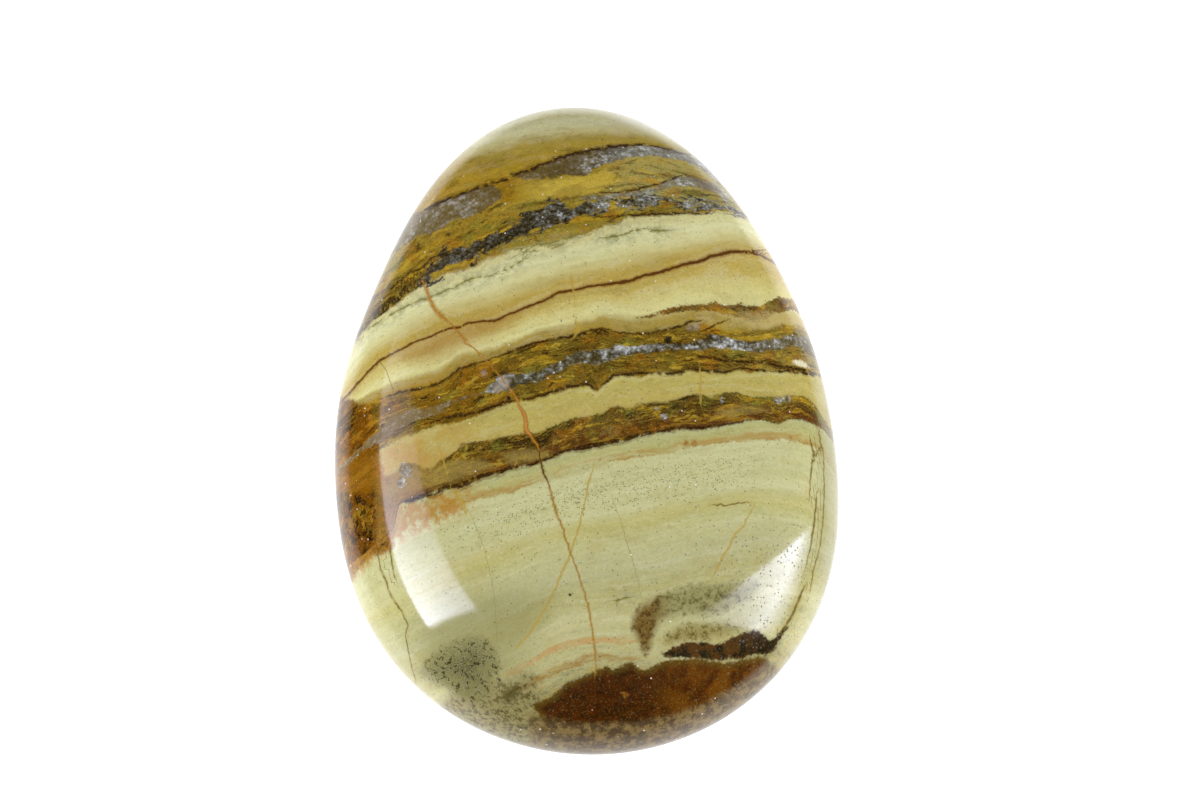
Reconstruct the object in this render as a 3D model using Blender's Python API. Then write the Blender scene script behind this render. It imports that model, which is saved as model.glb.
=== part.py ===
"""A polished river pebble of banded jasper: one egg-shaped stone that lies on its underside.

Metres, +Z up, +Y towards the narrow end. The origin is the middle of the stone's box, on the
surface that the stone lies on.
"""

import math

import bmesh
import bpy
from mathutils import Vector

# The outline seen from above: a mean radius, and the waves that swell it into an egg
MEAN_RADIUS = 0.0291
OUTLINE_WAVES = (
    # lobes, swell, and the direction of a crest in degrees from +X
    (2, 0.00481, 93.4),  # longer than it is wide
    (3, 0.00122, 91.3),  # one end narrow and the other blunt
    (4, 0.00057, 93.0),  # the narrow end drawn out a little
    (5, 0.00039, 94.1),  # the straighter flank on the left
    (6, 0.00011, 96.1),
)

# The section: how high each half stands, and how far out it stays flat before it rounds over
CROWN_HEIGHT = 0.0120
BELLY_DEPTH = 0.0110
FULLNESS = 2.15
BLUNT_END_EXTRA = 1.10
CROWN_LEAN = Vector((0.0006, -0.0012, 0.0))

# The flat that the polishing wheel left under the belly, where the stone rests
REST_FLAT_DEPTH = 0.00025

# Facets along each side of the cube that is drawn out into the stone
FACETS = 26

# The stone's mean colour, and the gloss of its polish
JASPER_COLOUR = (0.46, 0.40, 0.20, 1.0)
POLISH_ROUGHNESS = 0.12
JASPER_IOR = 1.54


def outline_radius(turn):
    """The mean radius, plus a cosine for each wave of the outline."""
    waves = (
        swell * math.cos(lobes * (turn - math.radians(crest)))
        for lobes, swell, crest in OUTLINE_WAVES
    )
    return MEAN_RADIUS + sum(waves)


def fullness(turn):
    """The section's exponent: least at the narrow end, and most at the blunt end."""
    towards_blunt_end = (1 - math.sin(turn)) / 2
    return FULLNESS + BLUNT_END_EXTRA * towards_blunt_end**2


def skin_point(direction):
    """The point of the stone's skin that lies in a direction from its middle.

    With t the angle from straight up, the height goes as cos t, and the distance from the
    upright axis is the outline's radius times (sin t) to the power 2 / fullness. The axis
    leans with the height.
    """
    turn = math.atan2(direction.y, direction.x)
    rise = direction.z
    spread = math.hypot(direction.x, direction.y) ** (2 / fullness(turn))
    reach = outline_radius(turn) * spread
    height = rise * (CROWN_HEIGHT if rise > 0 else BELLY_DEPTH)
    flank = Vector((reach * math.cos(turn), reach * math.sin(turn), height))
    return flank + CROWN_LEAN * rise


def evened(vertex):
    """The direction of a cube's grid point, spread so that the facets come out alike."""
    return Vector([math.tan(side * math.pi / 4) for side in vertex]).normalized()


def drawn_stone():
    """A cube's grid, with each point moved to the stone's skin, on a girdle at z = 0."""
    stone = bmesh.new()
    bmesh.ops.create_cube(stone, size=2)
    bmesh.ops.subdivide_edges(
        stone, edges=stone.edges[:], cuts=FACETS - 1, use_grid_fill=True
    )
    for vertex in stone.verts:
        vertex.co = skin_point(evened(vertex.co))
    return stone


def grind_rest_flat(stone):
    """Cuts the belly off level just above its lowest point, and closes it with one flat face."""
    level = Vector((0, 0, REST_FLAT_DEPTH - BELLY_DEPTH))
    cut = bmesh.ops.bisect_plane(
        stone,
        geom=stone.verts[:] + stone.edges[:] + stone.faces[:],
        plane_co=level,
        plane_no=(0, 0, -1),
        clear_outer=True,
    )
    rim = [item for item in cut["geom_cut"] if isinstance(item, bmesh.types.BMEdge)]
    bmesh.ops.contextual_create(stone, geom=rim)


def set_on_origin(stone):
    """Moves the stone so that its box is centred on the origin and stands on z = 0."""
    corners = [
        Vector([pick(vertex.co[axis] for vertex in stone.verts) for axis in range(3)])
        for pick in (min, max)
    ]
    middle = (corners[0] + corners[1]) / 2
    foot = Vector((middle.x, middle.y, corners[0].z))
    bmesh.ops.translate(stone, verts=stone.verts[:], vec=-foot)


def jasper():
    """Polished jasper: an opaque quartz stone, with the gloss of a fine polish."""
    material = bpy.data.materials.new("polished_jasper")
    material.use_nodes = True
    shader = material.node_tree.nodes["Principled BSDF"]
    shader.inputs["Base Color"].default_value = JASPER_COLOUR
    shader.inputs["Roughness"].default_value = POLISH_ROUGHNESS
    shader.inputs["Metallic"].default_value = 0.0
    shader.inputs["IOR"].default_value = JASPER_IOR
    return material


def make_pebble():
    """The whole stone, which is one piece."""
    stone = drawn_stone()
    grind_rest_flat(stone)
    set_on_origin(stone)
    bmesh.ops.recalc_face_normals(stone, faces=stone.faces[:])
    mesh = bpy.data.meshes.new("pebble")
    stone.to_mesh(mesh)
    stone.free()
    mesh.materials.append(jasper())
    mesh.shade_smooth()
    mesh.set_sharp_from_angle(angle=math.radians(30))
    pebble = bpy.data.objects.new("pebble", mesh)
    bpy.context.scene.collection.objects.link(pebble)


def main():
    for item in list(bpy.data.objects):
        bpy.data.objects.remove(item)
    make_pebble()


main()
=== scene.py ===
"""The looks of a polished river pebble of banded jasper, lying on pale paper in a small studio.

Metres, in the frame of the solid model. The stone's markings are laid out in millimetres on its
face plane: the plane through the stone's middle, square to the line of sight, with 0, 0 where the
camera aims, +across to the right and +up towards the narrow end. Each marking runs on through the
stone behind its place on the face.
"""

import math
from functools import partial
from types import SimpleNamespace

import bpy
import numpy as np
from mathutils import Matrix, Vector


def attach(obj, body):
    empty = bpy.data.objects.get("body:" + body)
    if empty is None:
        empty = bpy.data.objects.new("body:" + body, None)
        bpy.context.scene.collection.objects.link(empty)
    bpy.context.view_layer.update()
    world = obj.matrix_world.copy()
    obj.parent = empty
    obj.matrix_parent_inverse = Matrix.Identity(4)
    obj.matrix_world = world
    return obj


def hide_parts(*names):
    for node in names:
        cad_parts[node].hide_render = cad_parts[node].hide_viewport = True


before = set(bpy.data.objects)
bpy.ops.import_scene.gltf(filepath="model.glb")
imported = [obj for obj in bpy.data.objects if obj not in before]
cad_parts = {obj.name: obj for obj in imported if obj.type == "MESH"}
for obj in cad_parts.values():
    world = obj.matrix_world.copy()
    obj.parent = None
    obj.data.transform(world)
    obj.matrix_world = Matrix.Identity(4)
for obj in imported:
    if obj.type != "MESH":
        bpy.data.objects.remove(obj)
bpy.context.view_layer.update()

MM = 0.001

# The line of sight: 68 degrees above the paper, from 350 mm away
SIGHT_ELEVATION = math.radians(68)
SIGHT_DISTANCE = 0.350
SIGHT_TARGET = np.array((0.0014, 0.00187, 0.0110))
LENS = 105
SENSOR = 36

# The stone's surface, as the solid model has it
MEAN_RADIUS = 0.0291
OUTLINE_WAVES = (
    # lobes, swell, and the direction of a crest in degrees from +X
    (2, 0.00481, 93.4),
    (3, 0.00122, 91.3),
    (4, 0.00057, 93.0),
    (5, 0.00039, 94.1),
    (6, 0.00011, 96.1),
)
CROWN_HEIGHT = 0.0120
BELLY_DEPTH = 0.0110
FULLNESS = 2.15
BLUNT_END_EXTRA = 1.10
CROWN_LEAN = (0.0006, -0.0012)
REST_FLAT_DEPTH = 0.00025

# The flash behind the soft boxes is a little bluer than the room, and the glow at a cloth's
# hem is this share of the glow further in
FLASH_TINT = (0.93, 0.97, 1.25)
HEM_GLOW = 0.12
# Each cloth's corners, as (azimuth, elevation) in degrees seen from the stone, the strength of
# the glow at each corner, and the hem's share of the cloth
SOFT_BOXES = {
    "left_softbox": (((206, 20), (208, 54), (142, 27), (142, 11)), (17, 6, 0.3, 1.1), 0.0),
    "right_softbox": (((10, 0), (-9, 43), (-37, 58), (-24, 0)), (18, 8, 0.5, 18), 0.34),
}
# Cells along each side of a cloth, how far the cloths hang from the stone, and the height in
# it that they are placed from
CLOTH_CELLS = 30
CLOTH_DISTANCE = 0.6
CLOTH_PIVOT = 0.015
# Half the paper's side, its shade, and how strongly it shines
PAPER_REACH = 1.5
PAPER_SHADE = 0.85
PAPER_GLOW = 0.75
ROOM_GLOW = 0.47

# Behind the stone's outline: how far the beds dip, in waves, and how far the places drift
# and draw together; how far patches shrink, with a toothed edge, and how far small markings do
DIP = 5.0
DIP_WAVE = 1.6
DIP_SPAN = 6.5
DRIFT = 3.5
NARROWING = 0.25
DRAWING_IN = 9.0
TOOTH = 2.5
TOOTH_SPAN = 1.3
VANISHING = 30.0

# Cells along the sides of the cube that is drawn out into the skin
CELLS_ACROSS = 168
CELLS_UP = 64

# Where the beds of the stone meet its face: (across, up) in mm, from left to right
CAP_FOOT = (
    (-27, 10), (-20, 19.5), (-17, 22.0), (-14.3, 23.9), (-10, 25.1), (-7.5, 25.8), (-5, 26.3),
    (-2.5, 26.5), (0, 26.7), (2.5, 26.6), (5, 26.2), (7, 25.6), (10, 24.2), (14, 21), (25, 5),
)
OCHRE_FOOT = (
    (-27, 2), (-24, 6.6), (-23, 7.7), (-22, 8.6), (-20, 10.0), (-18.5, 11.2), (-17, 12.0),
    (-15, 12.8), (-13, 13.4), (-11, 14.3), (-10, 14.7), (-8.5, 15.3), (-7, 15.6), (-5, 15.9),
    (-3, 16.4), (-1, 16.8), (0, 17.3), (1, 17.6), (2, 18.0), (3, 18.6), (6, 18.7), (8, 18.9),
    (10, 18.95), (12, 19.1), (14, 18.7), (16, 17.5), (25, 10),
)
IRON_SEAM = (
    (-27, -1.4), (-25.7, 0.2), (-24.7, 1.3), (-23.5, 2.7), (-22, 4.15), (-21, 4.7), (-20, 5.2),
    (-19, 5.8), (-18, 6.2), (-17, 6.5), (-16, 7.0), (-15, 7.4), (-14, 7.5), (-13.5, 7.8),
    (-12.5, 8.0), (-11.5, 8.1), (-10.5, 8.1), (-9.7, 8.5), (-9, 8.8), (-8, 9.2), (-7, 9.6),
    (-6, 10.0), (-5, 10.4), (-4.5, 10.8), (-4, 11.0), (-3, 11.1), (-2, 11.3), (-1, 11.6),
    (0, 11.7), (1, 11.8), (2, 11.95), (3, 12.1), (4, 12.5), (5, 12.8), (6, 13.0), (7, 13.3),
    (8, 13.65), (9, 13.9), (10, 14.1), (11, 14.5), (12, 14.75), (13, 15.0), (13.7, 15.05),
    (15, 14.9), (16, 14.7), (18, 13.6), (25, 8),
)
BROAD_BAND_TOP = (
    (-27, -3.2), (-26, -2), (-25, -1.0), (-23, -0.1), (-22, 0.3), (-20, 1.0), (-19, 1.3),
    (-18, 1.3), (-17, 1.6), (-16, 1.9), (-15, 2.6), (-14, 3.4), (-13, 3.8), (-12, 3.9),
    (-11, 4.2), (-10, 4.6), (-9, 5.0), (-8, 5.4), (-7, 5.8), (-6, 6.1), (-5, 6.2), (-4, 6.3),
    (-3, 6.5), (-2, 6.7), (-1, 7.1), (0, 7.4), (1, 7.2), (2, 6.9), (3, 6.8), (4, 6.8),
    (5, 6.9), (6, 7.1), (7, 7.3), (8, 7.5), (9, 7.7), (10, 7.6), (11, 7.5), (12, 7.3),
    (13, 6.9), (15, 7.0), (17, 7.0), (18, 7.3), (19, 7.5), (20, 7.2), (25, 4),
)
BROAD_BAND_FOOT = (
    (-27, -8.6), (-25, -7.2), (-23.5, -6.0), (-22, -4.8), (-20, -3.7), (-18, -2.9), (-16, -2.3),
    (-14, -2.0), (-12, -1.3), (-11, -0.9), (-10, -0.5), (-9, -0.1), (-8, 0.1), (-7, 0.2),
    (-6, 0.4), (-5, 0.8), (-4, 1.1), (-3, 1.4), (-2, 1.5), (-1, 1.6), (-0.4, 1.1), (0.5, 1.8),
    (1.3, 2.4), (2, 2.6), (3, 2.6), (4, 2.5), (5, 2.8), (6.5, 3.0), (7.5, 2.7), (9, 3.1),
    (10, 3.0), (12, 3.2), (12.7, 2.9), (13.7, 3.2), (15, 3.0), (17, 3.2), (19, 3.0), (21, 2.8),
    (25, 0.5),
)
LOWER_BAND_TOP = (
    (-27, -10), (-24, -8.4), (-22, -7.6), (-20, -7.0), (-18.7, -6.2), (-17, -6.9), (-16, -5.9),
    (-15, -5.4), (-14, -4.6), (-13, -4.1), (-12, -4.0), (-10.8, -3.7), (-10, -3.5), (-9, -3.4),
    (-8, -3.3), (-7, -3.2), (-6, -3.1), (-5, -2.6), (-4, -2.1), (-3, -1.8), (-2, -1.6),
    (-1, -1.5), (0, -1.2), (1, -0.7), (2, -0.5), (3, -0.5), (4, -0.2), (5, -0.1), (6, 0.0),
    (7, 0.1), (8, 0.3), (9, 0.6), (10, 0.7), (11, 0.5), (12, 0.8), (12.8, 1.0), (14, 0.8),
    (15, 0.6), (16, 0.5), (17, 0.5), (18, 0.4), (19, 0.6), (20, 0.6), (20.7, 0.3), (21.5, -0.4),
    (22.4, -1.8), (25, -5),
)
LOWER_BAND_FOOT = (
    (-27, -18), (-25.5, -16.6), (-24, -15.6), (-22, -15.2), (-20.9, -14.6), (-20.4, -12),
    (-20, -10.2), (-18, -9.6), (-17, -9.0), (-15.5, -8.7), (-14, -8.5), (-13, -8.0), (-12, -7.6),
    (-11, -7.4), (-10, -7.2), (-9, -6.7), (-8, -6.5), (-7, -6.4), (-6, -6.0), (-5, -5.7),
    (-4, -5.2), (-3, -4.8), (-2, -4.7), (-1, -4.5), (0, -4.3), (1, -4.1), (2, -4.0), (3, -3.7),
    (4, -3.4), (5, -3.2), (6, -3.0), (7, -2.9), (8, -2.8), (10, -2.7), (12, -2.5), (13, -2.1),
    (14, -2.1), (15, -1.8), (16, -1.8), (17, -2.0), (18, -2.2), (19, -1.7), (20, -1.8),
    (21, -2.1), (22, -2.6), (22.8, -3.3), (25, -7),
)
TAN_STAIN = (
    (-27, -19), (-22, -13.8), (-19, -11.6), (-16, -10.6), (-13, -9.5), (-10, -8.9), (-8, -8.3),
    (-6, -7.6), (-4, -7.1), (-2, -6.4), (0, -6.0), (1, -5.5), (3, -5.2), (5, -5.0), (7, -4.7),
    (8, -4.3), (10, -4.0), (12, -3.7), (15, -3.4), (18, -3.3), (21, -3.8), (25, -9),
)
PEPPER_BED = (
    (-27, -22), (-22, -17.5), (-15, -13.8), (-10, -12), (-5, -10.3), (0, -9.3), (5, -8.3),
    (10, -7.3), (15, -6.7), (20, -7.2), (25, -12),
)
UPPER_ARC = (
    (-27, -36), (-17, -32), (-13, -29.5), (-10, -27.5), (-9, -27), (-7.5, -26.2), (-6, -25.3),
    (-4.5, -24.5), (-3, -24.1), (-1.5, -23.8), (0, -23.7), (2, -23.7), (4, -23.6), (10, -22),
    (16, -20.5), (25, -22),
)
LOWER_ARC = (
    (-27, -40), (-17, -34), (-11, -30.5), (-8, -28.8), (-6.5, -28), (-5, -27.1), (-4, -26.7),
    (-3, -26.4), (-2, -26.0), (-1, -25.6), (0, -25.5), (1, -25.6), (2.5, -25.7), (3.5, -25.6),
    (10, -24.5), (16, -23.5), (25, -26),
)

# The beds as a column at the stone's middle, from the top: the course and its height there in mm
COLUMN = (
    (CAP_FOOT, 26.7),
    (OCHRE_FOOT, 17.3),
    (IRON_SEAM, 11.7),
    (BROAD_BAND_TOP, 7.4),
    (BROAD_BAND_FOOT, 1.7),
    (LOWER_BAND_TOP, -1.2),
    (LOWER_BAND_FOOT, -4.3),
    (TAN_STAIN, -6.0),
    (PEPPER_BED, -9.3),
    (UPPER_ARC, -23.7),
    (LOWER_ARC, -25.5),
)

# Layers of granular quartz: their middle line and half thickness, (across, up, half) in mm
UPPER_QUARTZ = (
    (-27, 9, 0.3), (-22, 14.6, 0.8), (-20, 16.6, 0.9), (-18.5, 17.6, 1.1), (-17, 18.2, 1.3),
    (-15, 19.2, 1.1), (-13, 19.8, 1.2), (-12, 20.2, 1.25), (-11, 20.6, 1.05), (-10.4, 20.7, 0.75),
    (-10.0, 20.7, 0.45), (-9.8, 20.8, 0.02), (-9.7, 22.1, 0.02), (-8.6, 22.6, 0.12),
    (-8, 22.65, 0.25), (-7, 22.75, 0.45), (-6, 23.0, 0.7), (-5, 23.2, 0.8), (-4, 23.5, 0.9),
    (-3, 23.7, 1.0), (-1.6, 23.8, 1.15), (-1, 24.1, 1.0), (0, 24.45, 0.85), (1, 24.7, 0.8),
    (2, 24.95, 0.65), (3, 25.1, 0.55), (4, 25.2, 0.5), (6, 25.05, 0.45), (8, 24.6, 0.4),
    (10, 23.8, 0.35), (12, 22.2, 0.3),
)
GRAIN_LAYER = (
    (-2.2, 20.4, 0.02), (-1.3, 20.5, 0.35), (0, 20.5, 0.25), (2, 20.65, 0.25), (4, 20.9, 0.25),
    (5.5, 21.2, 0.3), (6.5, 21.7, 0.35), (8, 22.1, 0.5), (9, 22.0, 0.45), (11, 21.5, 0.4),
    (13, 20.3, 0.3),
)
BLACK_SEAM = (
    (-18.6, 11.8, 0.02), (-17.3, 12.6, 0.35), (-16.5, 13.3, 0.5),
    (-15.5, 14.3, 0.85), (-14, 14.7, 0.8), (-13, 14.7, 0.7), (-12, 15.6, 0.7), (-10, 16.5, 0.65),
    (-8, 17.4, 0.85), (-7, 17.8, 1.0), (-6, 18.1, 1.0), (-5, 18.7, 1.05), (-4.3, 19.0, 1.0),
    (-3.5, 18.8, 0.65), (-2.5, 18.9, 0.4), (-1.5, 19.4, 0.45), (0, 19.6, 0.4), (2, 19.7, 0.35),
    (4, 19.95, 0.4), (6, 20.15, 0.3), (8, 19.85, 0.12), (9.5, 19.7, 0.45), (11, 19.55, 0.6),
    (13, 19.3, 0.3), (15, 18.3, 0.2),
)
STRIP_LAYER = (
    (3.2, 8.4, 0.02), (4.7, 8.55, 0.08), (6, 8.9, 0.2), (8, 9.28, 0.22), (9, 9.4, 0.28),
    (10, 9.42, 0.33), (11, 9.5, 0.42), (12.5, 9.25, 0.45), (14, 9.1, 0.65), (15, 8.95, 0.6),
    (16, 9.0, 0.65), (17, 9.35, 0.8), (18, 9.75, 0.75), (19, 9.7, 0.5), (21, 8.8, 0.4),
)
BLUE_QUARTZ = (
    (-27, -7.6, 0.1), (-25.8, -6.5, 0.15), (-24, -4.8, 0.2), (-22.3, -3.5, 0.4),
    (-20.5, -2.1, 0.7), (-18.5, -1.3, 0.6), (-17, -1.0, 0.4), (-15.6, -0.4, 0.3),
    (-14.8, 0, 0.02), (-11.6, 1.0, 0.02), (-10.9, 1.3, 0.4), (-10, 1.9, 0.7), (-9, 2.0, 0.9),
    (-8.3, 2.3, 0.5), (-7, 2.4, 0.45), (-6, 2.6, 0.5), (-5, 3.1, 0.45), (-4, 3.6, 0.4),
    (-3, 4.1, 0.4), (-2, 4.45, 0.55), (-1, 4.4, 0.7), (0, 4.55, 0.75), (1, 4.75, 0.65),
    (2, 5.2, 0.5), (3, 5.15, 0.4), (4, 5.2, 0.4), (5, 5.3, 0.4), (6, 5.45, 0.4),
    (7, 5.6, 0.35), (8, 5.6, 0.35), (9, 5.6, 0.3), (10, 5.6, 0.45), (11, 6.1, 0.65),
    (12, 6.0, 0.65), (13, 5.8, 0.55), (14, 5.7, 0.45), (15, 5.6, 0.45), (16, 5.6, 0.55),
    (17, 5.7, 0.55), (18, 5.9, 0.5), (19, 6.1, 0.5), (20, 6.0, 0.5), (23, 3.5, 0.3),
)

# Thin lines: (across, up, half width) in mm. The iron line keeps to its seam's course, and
# (across, half width) say how thick it is.
IRON_WIDTHS = ((-15, 0.07), (-5, 0.10), (13, 0.14), (15, 0.08))
IRON_LINES = (
    tuple((across, up, np.interp(across, *zip(*IRON_WIDTHS))) for across, up in IRON_SEAM),
    ((13.7, 15.0, 0.08), (15, 15.1, 0.06), (16.5, 15.2, 0.03)),
)
# The long crack from the iron seam to the blunt end, healed with iron
MAIN_VEIN = (
    (-17.7, 12.1, 0.08), (-17.2, 10.8, 0.16), (-16.8, 9.8, 0.20), (-16.4, 9.1, 0.20),
    (-15.7, 8.5, 0.14), (-15.2, 8.1, 0.10), (-14.6, 7.5, 0.07), (-14, 6.8, 0.09),
    (-13.5, 6.1, 0.15), (-13, 5.6, 0.10), (-12.4, 5.2, 0.08), (-11.8, 4.5, 0.07),
    (-11, 3.8, 0.07), (-10, 2.6, 0.07), (-9.2, 1.5, 0.08), (-8.5, 0.6, 0.09), (-8.0, -0.5, 0.12),
    (-7.6, -1.2, 0.18), (-7.4, -2, 0.20), (-7.4, -2.8, 0.22), (-6.9, -3.5, 0.15),
    (-6.3, -4.3, 0.10), (-6.0, -5.3, 0.10), (-5.9, -6.3, 0.13), (-5.6, -7.2, 0.12),
    (-5.2, -8.2, 0.09), (-4.8, -9.5, 0.12), (-4.4, -11, 0.12), (-3.9, -12.2, 0.11),
    (-3.6, -13, 0.10), (-3.3, -14, 0.11), (-3.0, -15, 0.11), (-2.6, -16, 0.08),
    (-2.2, -17, 0.08), (-1.9, -18, 0.08), (-1.6, -19, 0.09), (-1.2, -20.2, 0.09),
    (-1.0, -21.4, 0.09), (-0.8, -22.6, 0.09), (-0.65, -23.8, 0.09), (-0.5, -25, 0.09),
    (-0.4, -26.2, 0.08), (-0.45, -27.2, 0.06),
)
# Olive and brown threads beside the beds
OLIVE_THREADS = (
    ((-24, 6.3, 0.05), (-23, 7.4, 0.05), (-22, 8.1, 0.06), (-20, 9.3, 0.07), (-18.5, 10.0, 0.07),
     (-17, 10.5, 0.07), (-15, 11.3, 0.08), (-13.5, 12.1, 0.08), (-12.5, 12.45, 0.08),
     (-11.5, 12.5, 0.05), (-10, 12.9, 0.07), (-9, 13.4, 0.08), (-8, 14.1, 0.07), (-7.3, 14.4, 0.04)),
    ((-9, 15.2, 0.05), (-7, 15.6, 0.06), (-5, 15.85, 0.06), (-4, 16.2, 0.06), (-3, 16.5, 0.05),
     (-2, 16.75, 0.04)),
    ((-7.8, 15.0, 0.04), (-6, 15.2, 0.05), (-5, 15.4, 0.05), (-4, 15.65, 0.05), (-3, 16.1, 0.04)),
    ((0.6, 16.45, 0.08), (1.6, 16.6, 0.15), (2.5, 16.8, 0.08), (4.5, 17.4, 0.05)),
    ((5.2, 17.15, 0.06), (5.9, 17.1, 0.14), (6.6, 17.15, 0.05)),
    ((1.5, -19.9, 0.05), (1.8, -19.85, 0.12), (2.0, -19.8, 0.05)),
    ((2.3, -19.7, 0.05), (2.6, -19.6, 0.12), (2.85, -19.55, 0.05)),
)
BROWN_EDGES = (
    # under and over the upper quartz, and the threads at the left rim
    ((-17.5, 19.2, 0.10), (-16, 20.0, 0.16), (-14, 20.75, 0.16), (-12, 21.45, 0.16),
     (-10, 22.15, 0.18), (-9, 22.5, 0.20), (-8, 22.9, 0.16), (-7, 23.2, 0.14), (-6, 23.7, 0.14),
     (-5, 24.05, 0.16), (-4, 24.45, 0.14), (-3, 24.75, 0.12), (-2, 24.95, 0.12), (0, 25.35, 0.14),
     (2, 25.65, 0.12), (4, 25.75, 0.10), (6, 25.5, 0.08), (9, 24.7, 0.05)),
    ((-24, 9.0, 0.10), (-22.5, 10.5, 0.14), (-21, 11.3, 0.14), (-20, 12.2, 0.10), (-19, 12.9, 0.10),
     (-18, 13.3, 0.08), (-17, 14.2, 0.10), (-16, 15.0, 0.10)),
    ((-25, 5.8, 0.14), (-24, 7.1, 0.2), (-22.5, 8.9, 0.2), (-21, 10.2, 0.2), (-20, 11.0, 0.16),
     (-19, 11.8, 0.14), (-18, 12.4, 0.1), (-17.3, 12.9, 0.08)),
    ((-22.5, 8.3, 0.06), (-21, 9.6, 0.1), (-19.5, 10.6, 0.1), (-18, 11.6, 0.06)),
    # the double line along the broad band's top
    ((-22, 0.3, 0.05), (-20, 1.0, 0.10), (-18, 1.3, 0.08), (-16, 1.9, 0.08), (-15, 2.6, 0.08),
     (-14, 3.4, 0.06), (-12, 3.9, 0.05), (-10, 4.6, 0.08), (-9, 5.0, 0.10), (-8, 5.4, 0.10),
     (-7, 5.8, 0.08), (-5, 6.2, 0.08), (-3, 6.55, 0.10), (-2, 6.75, 0.12), (-1, 7.1, 0.12),
     (0, 7.4, 0.08), (1, 7.2, 0.07), (2, 6.9, 0.07), (4, 6.8, 0.06), (5, 6.9, 0.07), (6, 7.1, 0.10),
     (7, 7.3, 0.11), (8, 7.55, 0.10), (9, 8.0, 0.08), (10, 8.15, 0.05)),
    ((10.5, 7.2, 0.05), (11.3, 7.6, 0.08), (12.3, 8.0, 0.06)),
    # over and under the grain layer
    ((0, 20.9, 0.05), (2, 21.0, 0.08), (4, 21.3, 0.08), (6, 21.9, 0.08), (8, 22.6, 0.06)),
    ((0, 18.5, 0.06), (2, 18.6, 0.10), (5, 18.75, 0.12), (8, 18.85, 0.10), (11, 18.9, 0.06)),
    ((-1.8, 6.3, 0.05), (-0.8, 6.5, 0.06), (0, 6.9, 0.05), (1, 6.75, 0.04)),
    # inside the broad band and along its ragged foot
    ((8.5, 4.1, 0.05), (10, 4.5, 0.12), (12, 4.2, 0.12), (14, 4.1, 0.14), (16, 3.9, 0.12),
     (18, 3.6, 0.12), (20, 3.3, 0.12), (22, 2.6, 0.08)),
    ((-17.5, -2.2, 0.05), (-16.5, -1.9, 0.08), (-15, -1.5, 0.12), (-13.5, -1.3, 0.15),
     (-12, -0.9, 0.18), (-11, -0.6, 0.15), (-10, -0.2, 0.15), (-9, 0.1, 0.12), (-8, 0.3, 0.10),
     (-7, 0.35, 0.14), (-6, 0.55, 0.15), (-5, 0.95, 0.14), (-4, 1.25, 0.14), (-3, 1.55, 0.12),
     (-2, 1.65, 0.10), (-1.2, 1.8, 0.10), (-0.35, 1.2, 0.14), (0.5, 2.0, 0.12), (1.3, 2.6, 0.10),
     (3, 2.8, 0.14), (5, 2.95, 0.12), (7.5, 2.8, 0.14), (9, 3.3, 0.08), (11, 3.1, 0.14),
     (12.7, 3.0, 0.14), (14, 3.4, 0.08), (16, 3.2, 0.12), (19, 3.1, 0.10), (21.5, 2.7, 0.14)),
    # along the lower band's foot, and through it
    ((-19.5, -10.0, 0.10), (-18, -9.5, 0.25), (-16.5, -9.0, 0.25), (-15.5, -8.6, 0.22),
     (-14, -8.35, 0.30), (-13, -7.85, 0.25), (-12, -7.4, 0.22), (-11, -7.2, 0.22), (-10, -7.0, 0.22),
     (-9, -6.6, 0.18), (-8, -6.4, 0.15), (-7, -6.3, 0.13), (-6, -5.9, 0.12), (-5, -5.6, 0.12),
     (-4, -5.1, 0.14), (-3, -4.7, 0.18), (-2, -4.6, 0.22), (-1, -4.4, 0.25), (0, -4.2, 0.22),
     (2, -3.85, 0.20), (4, -3.25, 0.20), (6, -2.9, 0.16), (8, -2.65, 0.14), (10, -2.55, 0.14),
     (12, -2.35, 0.12), (14, -2.0, 0.08)),
)
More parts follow.
